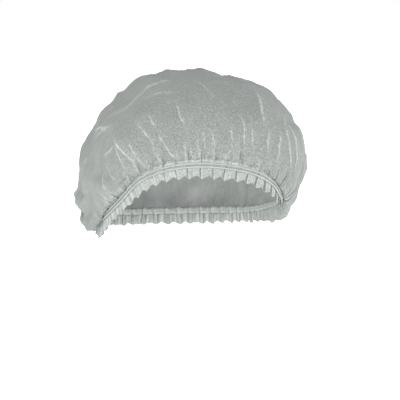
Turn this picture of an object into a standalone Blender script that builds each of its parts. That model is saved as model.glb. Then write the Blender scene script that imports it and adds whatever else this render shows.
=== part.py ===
"""Disposable hair cover cap in the form it has when worn: a thin sheet puffed out over the hair,
gathered by two elastic strands, with the sheet's pleated margin standing below them as a frill.

Metres, +Z up. The origin is where the crown's underside rests on the top of the head. The wearer
faces -Y, so the forehead is at angle 0 and angles grow towards the wearer's left, +X."""

import math
from collections import namedtuple

import bmesh
import bpy
from mathutils import Vector

MM = 0.001

# Sheet, in millimetres. The wall is thicker than the cloth, so that it holds as a solid.
CROWN_WALL = 1.4
FRILL_WALL = 1.1
PLEATS = 58
COLUMNS = 2 * PLEATS
PLEAT_SKEW = 0.34
DOME_ROUNDNESS = 2.05
BACK_GAP = 0.3

# Footprint of the rim: a rounded oval, longer to the back than to the forehead, and a little
# narrower on the wearer's left of the crown's top than on the right.
RIM_RIGHT = 78.0
RIM_LEFT = 71.5
RIM_FRONT = 94.0
RIM_BACK = 98.0
RIM_ROUNDNESS = 2.2

# Elastic: two round strands side by side, laid on the outside of the sheet.
STRAND_RADIUS = 0.75
STRAND_SPACING = 2.6
STRAND_GAP = 0.3

# Heights along the sheet, square to the band, measured down from the middle of the band.
CROWN_EDGE = 2.4
BAND_TOP = 2.9
FRILL_TOP = CROWN_EDGE + BACK_GAP
FRILL_TIP = 10.8
FRILL_NOTCH = 8.3

# Pocket between the overhanging puff and the band, which leaves room for the strands.
POCKET = 3.6
CREST = 5.6
LOW_SHARE = 0.3
LOW_SHARE_LEFT = 0.47
UNDER_SLENDER = 1.3

# Form of the cap round the head, in millimetres and degrees. droop is how far the lowest point of
# the puff hangs below the band; tuck is 1 where the puff overhangs the band and 0 where it's bare.
Station = namedtuple("Station", "angle rim belly_radius belly droop tuck")
STATIONS = [
    Station(-180, -129, 124.0, -104, 10, 1.0),
    Station(-150, -127, 111.5, -102, 8, 1.0),
    Station(-120, -124.5, 96.5, -95, 6, 1.0),
    Station(-105, -123, 95.0, -93, 8, 1.0),
    Station(-90, -121, 95.0, -90, 8.5, 1.0),
    Station(-75, -113.5, 95.5, -84, 4, 0.6),
    Station(-60, -101, 96.5, -74, -1, 0.05),
    Station(-45, -83.5, 98.0, -58, -4.6, 0.0),
    Station(-30, -73.6, 99.0, -48, -4.6, 0.0),
    Station(-15, -70, 100.5, -43, -4.6, 0.0),
    Station(0, -71.6, 101.0, -43, -4.6, 0.0),
    Station(15, -77.2, 100.5, -46, -4.6, 0.0),
    Station(30, -87, 99.0, -54, -3, 0.0),
    Station(45, -99.5, 97.0, -62, -2.5, 0.15),
    Station(60, -106.5, 95.5, -69, -1, 0.5),
    Station(75, -111, 95.5, -73, 4, 0.9),
    Station(90, -115.5, 95.5, -82, 10.5, 1.0),
    Station(120, -123, 100.0, -97, 10, 1.0),
    Station(150, -127.5, 111.5, -103, 9, 1.0),
]

# Rows of the dome: turn from the crown's top to the belly, in degrees, and how strongly the
# pleats' gathers show there, in millimetres.
DomeRow = namedtuple("DomeRow", "turn gather")
TOP_ROWS = [DomeRow(8, 0.0), DomeRow(16, 0.0), DomeRow(25, 0.0)]
DOME_ROWS = [
    DomeRow(36, 0.15),
    DomeRow(46, 0.3),
    DomeRow(56, 0.4),
    DomeRow(66, 0.5),
    DomeRow(78, 0.6),
    DomeRow(90, 0.75),
]
# Rows of the overhang: share of the quarter turn from the belly to the lowest point.
UNDER_ROWS = [DomeRow(28, 0.9), DomeRow(54, 1.0), DomeRow(75, 0.9), DomeRow(90, 0.8)]
# Rows inside the overhang: from the lowest point up to the crest above the band.
INNER_ROWS = [DomeRow(45, 0.45), DomeRow(80, 0.2)]

# Main folds and dents: where each starts and ends, as angle round the head and turn from the
# crown's top (over 90 is below the belly), with its half width and its height, negative for a dent.
Fold = namedtuple("Fold", "angle_a turn_a angle_b turn_b half_width height")
FOLDS = [
    Fold(-98, 62, -62, 96, 9.0, -3.2),
    Fold(-92, 70, -56, 112, 7.0, 2.4),
    Fold(-112, 78, -84, 104, 8.0, -2.6),
    Fold(-120, 96, -96, 128, 7.0, 2.2),
    Fold(-70, 40, -40, 84, 10.0, -1.8),
    Fold(-44, 66, -34, 110, 8.0, 1.6),
    Fold(-30, 60, -24, 108, 7.0, -1.5),
    Fold(-10, 62, -10, 108, 7.0, 1.4),
    Fold(8, 40, 14, 106, 8.0, -1.9),
    Fold(20, 34, 30, 100, 8.0, 2.0),
    Fold(42, 44, 50, 104, 9.0, -2.2),
    Fold(62, 56, 66, 110, 8.0, 1.2),
    Fold(86, 60, 84, 116, 9.0, -2.4),
    Fold(112, 52, 118, 118, 10.0, 2.6),
    Fold(140, 48, 134, 116, 10.0, -2.8),
    Fold(166, 50, 170, 118, 10.0, 2.8),
    Fold(-160, 46, -156, 116, 10.0, -2.8),
    Fold(-136, 50, -140, 112, 10.0, 2.4),
    Fold(-130, 97, -90, 100, 5.0, 3.2),
    Fold(-130, 107, -88, 111, 7.0, -3.6),
    Fold(58, 108, 98, 112, 9.0, -2.4),
    Fold(46, 67, 106, 66, 7.0, -3.4),
]

# Long low ridges and dips that run from front to back over the crown's top, by their place
# towards the wearer's left, in millimetres.
Ridge = namedtuple("Ridge", "place half_width height")
RIDGES = [
    Ridge(-60, 9.0, -0.6),
    Ridge(-39, 11.0, 4.0),
    Ridge(-18, 7.0, 2.4),
    Ridge(9, 6.0, 1.3),
    Ridge(24, 7.0, -2.2),
    Ridge(40, 7.0, 1.6),
    Ridge(58, 8.0, 1.4),
]
RIDGE_REACH = 48.0


def clear_scene():
    for obj in list(bpy.data.objects):
        bpy.data.objects.remove(obj, do_unlink=True)


def around(column, angle):
    """A column of the stations at any angle, with a smooth closed curve through the rows."""
    angles = [station.angle for station in STATIONS]
    values = [getattr(station, column) for station in STATIONS]
    count = len(STATIONS)
    angle = (angle + 180.0) % 360.0 - 180.0
    index = max(i for i in range(count) if angles[i] <= angle)

    def knot(i):
        turns, place = divmod(i, count)
        return angles[place] + 360.0 * turns, values[place]

    (x0, y0), (x1, y1), (x2, y2), (x3, y3) = [knot(index + step) for step in (-1, 0, 1, 2)]
    share = (angle - x1) / (x2 - x1)
    slope1 = (y2 - y0) / (x2 - x0) * (x2 - x1)
    slope2 = (y3 - y1) / (x3 - x1) * (x2 - x1)
    square, cube = share * share, share**3
    return (
        y1 * (2 * cube - 3 * square + 1)
        + slope1 * (cube - 2 * square + share)
        + y2 * (3 * square - 2 * cube)
        + slope2 * (cube - square)
    )


def rim_radius(angle):
    turn = math.radians(angle)
    across = abs(math.sin(turn)) / (RIM_LEFT if math.sin(turn) > 0 else RIM_RIGHT)
    along = abs(math.cos(turn)) / (RIM_FRONT if math.cos(turn) > 0 else RIM_BACK)
    return (across**RIM_ROUNDNESS + along**RIM_ROUNDNESS) ** (-1 / RIM_ROUNDNESS)


def at(angle, radius, height):
    turn = math.radians(angle)
    return Vector((radius * math.sin(turn), -radius * math.cos(turn), height)) * MM


def rim_point(angle, below, outward):
    """A point of the band's wall, below the band's middle along the sheet, square to the band."""
    step = 2.0
    rise = around("rim", angle + step) - around("rim", angle - step)
    run = math.radians(2 * step) * rim_radius(angle)
    length = math.hypot(rise, run)
    shift = math.degrees(below * rise / length / rim_radius(angle))
    height = around("rim", angle) - below * run / length
    return at(angle + shift, rim_radius(angle + shift) + outward, height)


def column_angle(column):
    """Every second column is a pleat's fold line; the one after it lies nearer to it than halfway."""
    pleat, side = divmod(column, 2)
    return -180.0 + (pleat + (0.5 + PLEAT_SKEW / 2) * side) * 360.0 / PLEATS


def fold_height(angle, turn):
    """Height of the main folds over the plain form, in millimetres."""
    reach = math.sin(math.radians(min(turn, 90.0)))
    total = 0.0
    for fold in FOLDS:
        across = ((angle - fold.angle_a + 180.0) % 360.0 - 180.0) * 1.6 * reach
        along = (turn - fold.turn_a) * 1.6
        axis_x = ((fold.angle_b - fold.angle_a + 180.0) % 360.0 - 180.0) * 1.6 * reach
        axis_y = (fold.turn_b - fold.turn_a) * 1.6
        length = math.hypot(axis_x, axis_y)
        share = (across * axis_x + along * axis_y) / length**2
        aside = (across * axis_y - along * axis_x) / length
        beyond = max(0.0, abs(share - 0.5) - 0.5) * length
        distance = math.hypot(aside, beyond) / fold.half_width
        total += fold.height * math.exp(-distance * distance)
    return total


def ridge_height(angle, radius, turn):
    """Height of the ridges over the crown's top, in millimetres."""
    turned = math.radians(angle)
    across, along = radius * math.sin(turned), -radius * math.cos(turned)
    total = sum(
        ridged.height * math.exp(-(((across - ridged.place) / ridged.half_width) ** 2))
        for ridged in RIDGES
    )
    share = min(1.0, max(0.0, (60.0 - turn) / 35.0))
    return total * math.exp(-((along / RIDGE_REACH) ** 2)) * share * share * (3 - 2 * share)


def dome_point(angle, row, side):
    belly_radius = around("belly_radius", angle)
    belly = around("belly", angle)
    turn = math.radians(row.turn)
    power = 2 / DOME_ROUNDNESS
    swell = fold_height(angle, row.turn) + side * row.gather
    radius = belly_radius * math.sin(turn) ** power + swell * math.sin(turn)
    height = belly + (CROWN_WALL - belly) * max(0.0, math.cos(turn)) ** power
    over = ridge_height(angle, radius, row.turn)
    return at(angle, radius, height + swell * math.cos(turn) + over)


def low_point(angle):
    rim = rim_radius(angle)
    to_left = max(0.0, math.sin(math.radians(angle)))
    share = LOW_SHARE + (LOW_SHARE_LEFT - LOW_SHARE) * to_left
    low_radius = rim + share * (around("belly_radius", angle) - rim)
    return low_radius, around("rim", angle) - around("droop", angle)


def under_point(angle, row, side):
    low_radius, low = low_point(angle)
    belly_radius = around("belly_radius", angle)
    belly = around("belly", angle)
    turn = math.radians(row.turn)
    swell = fold_height(angle, 90.0 + row.turn / 2) * math.cos(turn) + side * row.gather
    wide = max(0.0, math.cos(turn)) ** UNDER_SLENDER
    radius = low_radius + (belly_radius - low_radius) * wide + swell * math.cos(turn)
    height = belly - (belly - low) * math.sin(turn) - swell * math.sin(turn) * 0.5
    return at(angle, radius, height)


def inner_point(angle, row, side):
    low_radius, low = low_point(angle)
    tuck = around("tuck", angle)
    end_radius = rim_radius(angle) + 1.0 + (POCKET - 1.0) * tuck
    end = around("rim", angle) + 3.9 + (CREST - 5.1) * tuck
    turn = math.radians(row.turn)
    radius = low_radius - (low_radius - end_radius) * math.sin(turn)
    height = end - (end - low) * math.cos(turn)
    return at(angle, radius, height - side * row.gather * 0.4)


def crest_point(angle):
    tuck = around("tuck", angle)
    height = around("rim", angle) + 3.7 + (CREST - 3.7) * tuck
    return at(angle, rim_radius(angle) + 0.5 + (POCKET / 2 - 0.5) * tuck, height)


def ring(bm, points):
    return [bm.verts.new(point) for point in points]


def join_rings(bm, upper, lower):
    for column in range(len(upper)):
        after = (column + 1) % len(upper)
        bm.faces.new((upper[column], lower[column], lower[after], upper[after]))


def crown_mesh():
    bm = bmesh.new()
    angles = [column_angle(column) for column in range(COLUMNS)]
    sides = [1.0 if column % 2 == 0 else -1.0 for column in range(COLUMNS)]
    top = bm.verts.new((0.0, 0.0, (CROWN_WALL + ridge_height(0.0, 0.0, 0.0)) * MM))
    coarse = [
        ring(bm, [dome_point(angle, row, 0.0) for angle in angles[::2]]) for row in TOP_ROWS
    ]
    for pleat in range(PLEATS):
        bm.faces.new((top, coarse[0][pleat], coarse[0][(pleat + 1) % PLEATS]))
    for upper, lower in zip(coarse, coarse[1:]):
        join_rings(bm, upper, lower)

    rows = []
    for row in DOME_ROWS:
        rows.append(ring(bm, [dome_point(a, row, s) for a, s in zip(angles, sides)]))
    for row in UNDER_ROWS:
        rows.append(ring(bm, [under_point(a, row, s) for a, s in zip(angles, sides)]))
    for row in INNER_ROWS:
        rows.append(ring(bm, [inner_point(a, row, s) for a, s in zip(angles, sides)]))
    rows.append(ring(bm, [crest_point(a) for a in angles]))
    rows.append(ring(bm, [rim_point(a, -BAND_TOP, 0.0) for a in angles]))
    rows.append(ring(bm, [rim_point(a, CROWN_EDGE, 0.0) for a in angles]))

    for pleat in range(PLEATS):
        after = (pleat + 1) % PLEATS
        first = rows[0][2 * pleat]
        middle = rows[0][2 * pleat + 1]
        last = rows[0][(2 * pleat + 2) % COLUMNS]
        bm.faces.new((coarse[-1][pleat], first, middle))
        bm.faces.new((coarse[-1][pleat], middle, coarse[-1][after]))
        bm.faces.new((coarse[-1][after], middle, last))
    for upper, lower in zip(rows, rows[1:]):
        join_rings(bm, upper, lower)
    return bm


def frill_mesh():
    """The margin of the sheet below the band: knife pleats that open towards the free edge."""
    bm = bmesh.new()
    middle = (FRILL_TOP + FRILL_TIP) / 2
    rows = [[], [], []]
    for column in range(COLUMNS):
        angle = column_angle(column)
        fold_line = column % 2 == 0
        tip = FRILL_TIP if fold_line else FRILL_NOTCH
        rows[0].append(rim_point(angle, FRILL_TOP, 0.3 if fold_line else -0.1))
        rows[1].append(rim_point(angle, middle, 1.3 if fold_line else -0.5))
        rows[2].append(rim_point(angle, tip, 2.2 if fold_line else -0.4))
    rings = [ring(bm, row) for row in rows]
    for upper, lower in zip(rings, rings[1:]):
        join_rings(bm, upper, lower)
    return bm


def strand(name, below):
    curve = bpy.data.curves.new(name, "CURVE")
    curve.dimensions = "3D"
    curve.bevel_depth = STRAND_RADIUS * MM
    curve.bevel_resolution = 2
    curve.resolution_u = 1
    curve.use_fill_caps = True
    spline = curve.splines.new("POLY")
    spline.points.add(PLEATS - 1)
    spline.use_cyclic_u = True
    outward = STRAND_GAP + STRAND_RADIUS
    for point, column in zip(spline.points, range(0, COLUMNS, 2)):
        point.co = (*rim_point(column_angle(column), below, outward), 1.0)
    return bpy.data.objects.new(name, curve)


def shell(name, bm, wall):
    mesh = bpy.data.meshes.new(name)
    bm.normal_update()
    bm.to_mesh(mesh)
    bm.free()
    obj = bpy.data.objects.new(name, mesh)
    solid = obj.modifiers.new("Wall", "SOLIDIFY")
    solid.thickness = wall * MM
    solid.offset = -1.0
    solid.use_rim = True
    return obj


def material(name, colour, roughness, alpha=1.0):
    made = bpy.data.materials.new(name)
    made.use_nodes = True
    shader = made.node_tree.nodes["Principled BSDF"]
    shader.inputs["Base Color"].default_value = (*colour, 1.0)
    shader.inputs["Roughness"].default_value = roughness
    shader.inputs["Alpha"].default_value = alpha
    made.diffuse_color = (*colour, alpha)
    return made


def main():
    clear_scene()
    scene = bpy.context.scene
    scene.unit_settings.system = "METRIC"
    scene.unit_settings.scale_length = 1.0
    collection = bpy.data.collections.new("hair_cover_cap")
    scene.collection.children.link(collection)

    nonwoven = material("Nonwoven sheet", (0.62, 0.65, 0.63), 0.8)
    margin = material("Nonwoven frill", (0.66, 0.69, 0.67), 0.8)
    elastic = material("Elastic strand", (0.80, 0.83, 0.78), 0.6)

    parts = [
        (shell("crown", crown_mesh(), CROWN_WALL), nonwoven),
        (shell("frill", frill_mesh(), FRILL_WALL), margin),
        (strand("elastic_upper", -STRAND_SPACING / 2), elastic),
        (strand("elastic_lower", STRAND_SPACING / 2), elastic),
    ]
    for obj, finish in parts:
        obj.data.materials.append(finish)
        collection.objects.link(obj)


if __name__ == "__main__":
    main()
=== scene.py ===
"""Looks of a disposable hair cover cap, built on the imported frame.

A thin non-woven sheet is gathered in knife pleats under two elastic strands. Metres, +Z up, with
the front towards -Y. The tables of the form are in millimetres and degrees."""

import math
from collections import namedtuple

import bmesh
import bpy
import numpy as np
from mathutils import Matrix, Vector, noise


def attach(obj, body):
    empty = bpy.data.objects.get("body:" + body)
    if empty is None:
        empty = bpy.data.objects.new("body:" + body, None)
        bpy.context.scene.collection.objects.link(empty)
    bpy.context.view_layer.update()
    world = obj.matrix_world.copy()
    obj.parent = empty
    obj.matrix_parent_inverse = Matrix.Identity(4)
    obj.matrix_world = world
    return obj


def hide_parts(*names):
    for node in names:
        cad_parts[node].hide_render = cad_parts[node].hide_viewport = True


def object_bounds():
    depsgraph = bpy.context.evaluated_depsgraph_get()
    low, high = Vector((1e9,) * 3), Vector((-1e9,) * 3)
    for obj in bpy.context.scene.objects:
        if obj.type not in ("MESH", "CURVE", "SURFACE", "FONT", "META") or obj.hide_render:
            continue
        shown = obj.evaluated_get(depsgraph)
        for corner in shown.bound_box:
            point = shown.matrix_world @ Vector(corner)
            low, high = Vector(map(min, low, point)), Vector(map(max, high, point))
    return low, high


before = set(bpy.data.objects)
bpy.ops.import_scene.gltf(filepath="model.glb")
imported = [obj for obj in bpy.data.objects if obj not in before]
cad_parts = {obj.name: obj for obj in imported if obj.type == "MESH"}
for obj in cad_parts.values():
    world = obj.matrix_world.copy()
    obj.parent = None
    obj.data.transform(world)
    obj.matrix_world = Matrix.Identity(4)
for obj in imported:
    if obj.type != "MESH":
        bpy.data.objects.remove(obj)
CAD_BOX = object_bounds()

bl_info = {
    "name": "Hair Cover Cap",
    "version": (1, 0, 0),
    "blender": (4, 5, 0),
    "location": "View3D > Sidebar > Cap",
    "description": "Builds a gathered non-woven hair cover cap with elastic and frill",
    "category": "Object",
}

MM = 0.001

# Form of the worn cap, in millimetres and degrees. Angle 0 is the middle of the front, and angles
# grow towards +X. The form is that of the solids, except that at both sides the puff hangs a
# little higher or lower.
CROWN_WALL = 1.4
PLEATS = 58
PITCH = 360.0 / PLEATS
DOME_ROUNDNESS = 2.05
RIM_RIGHT = 78.0
RIM_LEFT = 71.5
RIM_FRONT = 94.0
RIM_BACK = 98.0
RIM_ROUNDNESS = 2.2
STRAND_RADIUS = 0.75
STRAND_SPACING = 2.6

# Where the puff is tucked in over the band: how far out its end lies, and how high its crest.
POCKET = 3.6
CREST = 5.6
FLAT_POCKET = 1.0
FLAT_CREST = 3.7
FLAT_END = 3.9
TUCKED_DIP = 5.1

# Where the puff's lowest line lies, as a share of the way out from the band to the belly, and how
# quickly its underside draws in towards that line.
LOW_SHARE = 0.3
LOW_SHARE_LEFT = 0.53
UNDER_SLENDER = 1.3

# Edges of the sheets, in millimetres above or below the middle of the band.
BAND_TOP = 2.9
CROWN_EDGE = 1.7
FRILL_TOP = 1.4
FRILL_TIP = 10.8

# The form round the cap: height of the band, radius and height of the belly, how far the puff
# droops below the band, and how much of it is tucked in, from 0 to 1.
Station = namedtuple("Station", "angle rim belly_radius belly droop tuck")
STATIONS = [
    Station(-180, -129, 124.0, -104, 10, 1.0),
    Station(-150, -127, 111.5, -102, 8, 1.0),
    Station(-120, -124.5, 96.5, -95, 4.5, 1.0),
    Station(-105, -123, 95.0, -93, 4.5, 1.0),
    Station(-90, -121, 95.0, -90, 9.5, 1.0),
    Station(-75, -113.5, 95.5, -84, -2, 0.1),
    Station(-60, -101, 96.5, -74, -4, 0.0),
    Station(-45, -83.5, 98.0, -58, -4.6, 0.0),
    Station(-30, -73.6, 99.0, -48, -4.6, 0.0),
    Station(-15, -70, 100.5, -43, -4.6, 0.0),
    Station(0, -71.6, 101.0, -43, -4.6, 0.0),
    Station(15, -77.2, 100.5, -46, -4.6, 0.0),
    Station(30, -87, 99.0, -54, -3, 0.0),
    Station(45, -99.5, 97.0, -62, -2.5, 0.15),
    Station(60, -106.5, 95.5, -69, -1.5, 0.3),
    Station(75, -111, 95.5, -73, 3.5, 0.7),
    Station(90, -115.5, 95.5, -82, 10.5, 1.0),
    Station(120, -123, 100.0, -97, 10, 1.0),
    Station(150, -127.5, 111.5, -103, 9, 1.0),
]

# Steps of the table of points that the form is worked out as, and the turns from the crown's top
# that stand for its last parts. Turns over 90 are below the belly.
FORM_ROWS_PER_DEGREE = 2
FORM_COLUMNS = 320
FORM_SMOOTHINGS = 3
UNDERSIDE_TURN = 136
CREST_TURN = 138
BAND_TURN = 140

# Broad folds and dents, by angle and turn from the crown's top.
Fold = namedtuple("Fold", "angle_a turn_a angle_b turn_b half_width height")
FOLDS = [
    Fold(-98, 62, -62, 96, 9.0, -3.2),
    Fold(-92, 70, -56, 112, 7.0, 2.4),
    Fold(-112, 78, -84, 104, 8.0, -2.6),
    Fold(-120, 96, -96, 128, 7.0, 2.2),
    Fold(-70, 40, -40, 84, 10.0, -1.8),
    Fold(-44, 66, -34, 110, 8.0, 1.6),
    Fold(-30, 60, -24, 108, 7.0, -1.5),
    Fold(-10, 62, -10, 108, 7.0, 1.4),
    Fold(8, 40, 14, 106, 8.0, -1.9),
    Fold(20, 34, 30, 100, 8.0, 2.0),
    Fold(42, 44, 50, 104, 9.0, -2.2),
    Fold(62, 56, 66, 110, 8.0, 1.2),
    Fold(86, 60, 84, 116, 9.0, -2.4),
    Fold(112, 52, 118, 118, 10.0, 2.6),
    Fold(140, 48, 134, 116, 10.0, -2.8),
    Fold(166, 50, 170, 118, 10.0, 2.8),
    Fold(-160, 46, -156, 116, 10.0, -2.8),
    Fold(-136, 50, -140, 112, 10.0, 2.4),
    Fold(-130, 97, -90, 100, 5.0, 3.2),
    Fold(-130, 107, -88, 111, 7.0, -3.6),
    Fold(58, 108, 98, 112, 9.0, -2.4),
    Fold(46, 67, 106, 66, 7.0, -3.4),
]

# Millimetres of sheet to one degree at the belly, for the lengths of folds.
FOLD_SCALE = 1.6

# Long low ridges and dips that run from front to back over the crown's top, by their place
# along X, in millimetres.
Ridge = namedtuple("Ridge", "place half_width height")
RIDGES = [
    Ridge(-60, 9.0, -0.6),
    Ridge(-39, 11.0, 4.0),
    Ridge(-18, 7.0, 2.4),
    Ridge(9, 6.0, 1.3),
    Ridge(24, 7.0, -2.2),
    Ridge(40, 7.0, 1.6),
    Ridge(58, 8.0, 1.4),
]
RIDGE_REACH = 48.0

# Creases pressed into the sheet: points as (angle round the cap, millimetres above the band),
# with the height of the ridge and how wide it falls off on its flat side.
Crease = namedtuple("Crease", "path height width")
CREASES = [
    Crease([(-61.5, 61), (-54, 43), (-47, 24), (-44, 13)], 2.2, 5.0),
    Crease([(-56, 46), (-52, 29), (-47.5, 6)], 1.5, 4.0),
    Crease([(-65, 44), (-60, 44), (-56, 47)], 1.5, 3.0),
    Crease([(-63, 40), (-60, 26), (-54, 13)], 1.2, 3.5),
    Crease([(-67, 34), (-63, 18), (-60, 3)], 1.3, 3.5),
    Crease([(-72, 26), (-67, 12), (-65, 2)], 1.2, 3.5),
    Crease([(-48, 56), (-40, 38), (-36, 28), (-33, 18)], 1.5, 4.0),
    Crease([(-39, 53), (-36, 42), (-32, 32)], 1.2, 3.5),
    Crease([(-49, 42), (-45, 28), (-41, 13), (-38, 3)], 1.3, 3.5),
    Crease([(-27, 64), (-24, 50), (-22.5, 40), (-20.5, 33), (-18, 21)], 1.7, 4.0),
    Crease([(-33, 31), (-30, 22), (-27, 12), (-23, 2)], 1.4, 4.0),
    Crease([(-36, 25), (-33, 12), (-30, 3)], 1.1, 3.5),
    Crease([(-18, 16), (-17, 8), (-15, 2)], 1.1, 3.5),
    Crease([(-12, 30), (-11.5, 18), (-10, 6)], 1.0, 3.5),
    Crease([(-8, 29), (-7.5, 20), (-6, 13)], 1.0, 3.5),
    Crease([(0, 35), (1, 28), (1.5, 20), (1, 10)], 1.1, 3.5),
    Crease([(5.5, 46), (7.5, 36), (7, 24), (8, 12)], 1.3, 4.0),
    Crease([(28, 94), (25, 76), (23, 67), (19.5, 52), (18.5, 44), (18, 36)], 1.4, 4.5),
    Crease([(10, 41), (12, 33), (12, 21), (14, 10)], 1.2, 3.5),
    Crease([(21, 40), (20, 28), (21, 14)], 1.2, 4.0),
    Crease([(29, 46), (27, 30), (27.5, 12)], 1.2, 4.0),
    Crease([(-18, 96), (-11, 84), (-8, 72), (-6, 62), (-4, 52)], 0.9, 4.0),
    Crease([(-62, 98), (-46, 94), (-32, 91)], 1.1, 4.5),
    Crease([(-50, 80), (-36, 74), (-26, 71)], 0.9, 4.0),
    Crease([(-76, 88), (-62, 86), (-51, 93), (-47, 102)], 1.3, 7.0),
    Crease([(-84, 92), (-74, 78), (-63, 62)], 1.6, 5.0),
    Crease([(-82, 80), (-70, 70), (-62, 68)], 1.3, 4.0),
    Crease([(-92, 60), (-84, 46), (-77, 30), (-74, 20)], 1.0, 6.0),
    Crease([(-104, 66), (-96, 48), (-90, 30)], 1.0, 7.0),
    Crease([(38, 66), (36, 48), (38, 30), (40, 14)], 1.4, 5.0),
    Crease([(50, 84), (47, 62), (50, 40), (48, 20)], 1.6, 5.0),
    Crease([(64, 90), (60, 70), (62, 46), (66, 26)], 1.7, 6.0),
    Crease([(78, 84), (74, 60), (80, 40)], 1.7, 6.0),
]

# One knife pleat: share of its cloth, place across the pitch, depth and drop of its free edge.
PleatPoint = namedtuple("PleatPoint", "share across depth edge")
PLEAT_PATH = [
    PleatPoint(0.00, 0.00, 0.00, 0.0),
    PleatPoint(0.07, 0.08, -0.05, 0.1),
    PleatPoint(0.20, 0.30, -0.22, 1.1),
    PleatPoint(0.40, 0.68, -0.46, 2.8),
    PleatPoint(0.57, 1.00, -0.72, 0.5),
    PleatPoint(0.66, 1.18, -0.84, 1.0),
    PleatPoint(0.74, 1.36, -0.86, 2.0),
    PleatPoint(0.80, 1.30, -0.62, 1.8),
    PleatPoint(0.93, 1.06, -0.18, 0.5),
    PleatPoint(1.00, 1.00, 0.00, 0.0),
]

# Where the margin hangs lowest, at one side of the cap.
Corner = namedtuple("Corner", "angle width drop")
CORNER = Corner(-90.0, 9.0, 4.5)

# The other side, where the puff is only softly gathered.
LOOSE_SIDE = 82.0
LOOSE_WIDTH = 26.0

# Noise that shapes the sheets: size of its lumps in millimetres, seed and stretch.
Lumps = namedtuple("Lumps", "size seed stretch", defaults=[(1.0, 1.0, 1.0)])
LONG_LUMPS = Lumps(30.0, 1, (1.0, 1.0, 0.6))
MIDDLE_LUMPS = Lumps(11.0, 2, (1.0, 1.0, 0.45))
CRUMPLED = Lumps(16.0, 3, (1.0, 1.0, 0.5))
SMALL_LUMPS = Lumps(4.0, 4)
RIBS = Lumps(2.0, 5)
MARGIN_WAVES = Lumps(9.0, 6)
MARGIN_CURLS = Lumps(3.2, 7)
GATHERS = Lumps(13.0, 8)
FACETS = Lumps(34.0, 9, (1.0, 1.0, 0.62))
FACETS_SHOWN = Lumps(42.0, 10)

# Fineness of the sheets. The crown's rows are closer together near the band.
CROWN_STEPS = 12
CROWN_ROWS = 138
NEAR_ROWS = 26
NEAR_REACH = 15.0
FRILL_STEPS = 28
FRILL_ROWS = 12
STRAND_STEPS = 12

# Wave of the strands and radius of the thread, in millimetres, stitches to a pleat, and one
# zigzag stitch as places below the middle of the band and out from its wall.
STRAND_WAVE = 0.12
THREAD_RADIUS = 0.12
STITCHES = 5
STITCH = [(-2.3, 0.35), (0.0, 1.15), (2.3, 0.35), (0.0, 1.15)]

# Width of a crease's steep side, and how far its line can be seen, in millimetres.
STEEP_SIDE = 0.7
LINE_REACH = 1.9
SEED = 41

# The picture's side in pixels, pixels to a millimetre, and the origin's pixel.
PICTURE = 400.0
PICTURE_SCALE = 1.2
ORIGIN_PIXEL = (190.0, 72.0)

# The camera's angles in degrees, its distance in metres and its sensor in millimetres.
CAMERA_AZIMUTH = -18.0
CAMERA_ELEVATION = 6.0
CAMERA_DISTANCE = 1.4
SENSOR = 36.0

# Soft round lamps, in metres and watts, the point that they face, and the light of the white
# surroundings, which show at full strength in the camera.
Lamp = namedtuple("Lamp", "name place size power")
LAMPS = [
    Lamp("key", (-0.55, -1.2, 0.8), 0.3, 17.0),
    Lamp("fill", (1.2, -0.25, -0.1), 0.3, 5.0),
]
LAMP_AIM = (0.0, 0.0, -0.06)
SKY_LIGHT = 0.48
FLOOR_SIZE = 30.0


class CapSettings(bpy.types.PropertyGroup):
    """Sizes and colours of the cap that a user would change."""

    sheet_colour: bpy.props.FloatVectorProperty(
        name="Sheet colour",
        description="Colour of the non-woven sheet",
        subtype="COLOR",
        size=3,
        min=0.0,
        max=1.0,
        default=(0.275, 0.292, 0.281),
    )
    elastic_colour: bpy.props.FloatVectorProperty(
        name="Elastic colour",
        description="Colour of the covered elastic strands",
        subtype="COLOR",
        size=3,
        min=0.0,
        max=1.0,
        default=(0.36, 0.385, 0.36),
    )
    coverage: bpy.props.FloatProperty(
        name="Sheet coverage",
        description="How much of the light one layer of the sheet stops, on average",
        subtype="FACTOR",
        min=0.1,
        max=1.0,
        default=0.94,
    )
    crease_height: bpy.props.FloatProperty(
        name="Crease height",
        description="Height of a pressed crease of size one",
        unit="LENGTH",
        min=0.0,
        max=0.004,
        default=0.00125,
    )
    pleat_depth: bpy.props.FloatProperty(
        name="Pleat depth",
        description="Depth of the knife pleats at the band",
        unit="LENGTH",
        min=0.0002,
        max=0.004,
        default=0.0011,
    )
    frill_flare: bpy.props.FloatProperty(
        name="Frill flare",
        description="How far the frill's free edge stands out from the band",
        unit="LENGTH",
        min=0.0,
        max=0.01,
        default=0.0016,
    )
    floor_drop: bpy.props.FloatProperty(
        name="Floor drop",
        description="Height of the cap's lowest point over the floor",
        unit="LENGTH",
        min=0.0,
        max=1.0,
        default=0.16,
    )


# Form of the cap


def around(column, angle):
    """A column of the stations at any angles, with a smooth closed curve through the rows."""
    knots = np.array([station.angle for station in STATIONS], float)
    values = np.array([getattr(station, column) for station in STATIONS], float)
    knots = np.concatenate([knots[-2:] - 360, knots, knots[:3] + 360])
    values = np.concatenate([values[-2:], values, values[:3]])
    angle = (np.asarray(angle, float) + 180.0) % 360.0 - 180.0
    index = np.clip(np.searchsorted(knots, angle, side="right") - 1, 1, len(knots) - 3)
    x0, x1, x2, x3 = (knots[index + step] for step in (-1, 0, 1, 2))
    y0, y1, y2, y3 = (values[index + step] for step in (-1, 0, 1, 2))
    share = (angle - x1) / (x2 - x1)
    slope1 = (y2 - y0) / (x2 - x0) * (x2 - x1)
    slope2 = (y3 - y1) / (x3 - x1) * (x2 - x1)
    square, cube = share**2, share**3
    return (
        y1 * (2 * cube - 3 * square + 1)
        + slope1 * (cube - 2 * square + share)
        + y2 * (3 * square - 2 * cube)
        + slope2 * (cube - square)
    )


def ring(count):
    """Angles of evenly spaced places round the cap."""
    return np.arange(count) * 360.0 / count - 180.0


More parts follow.
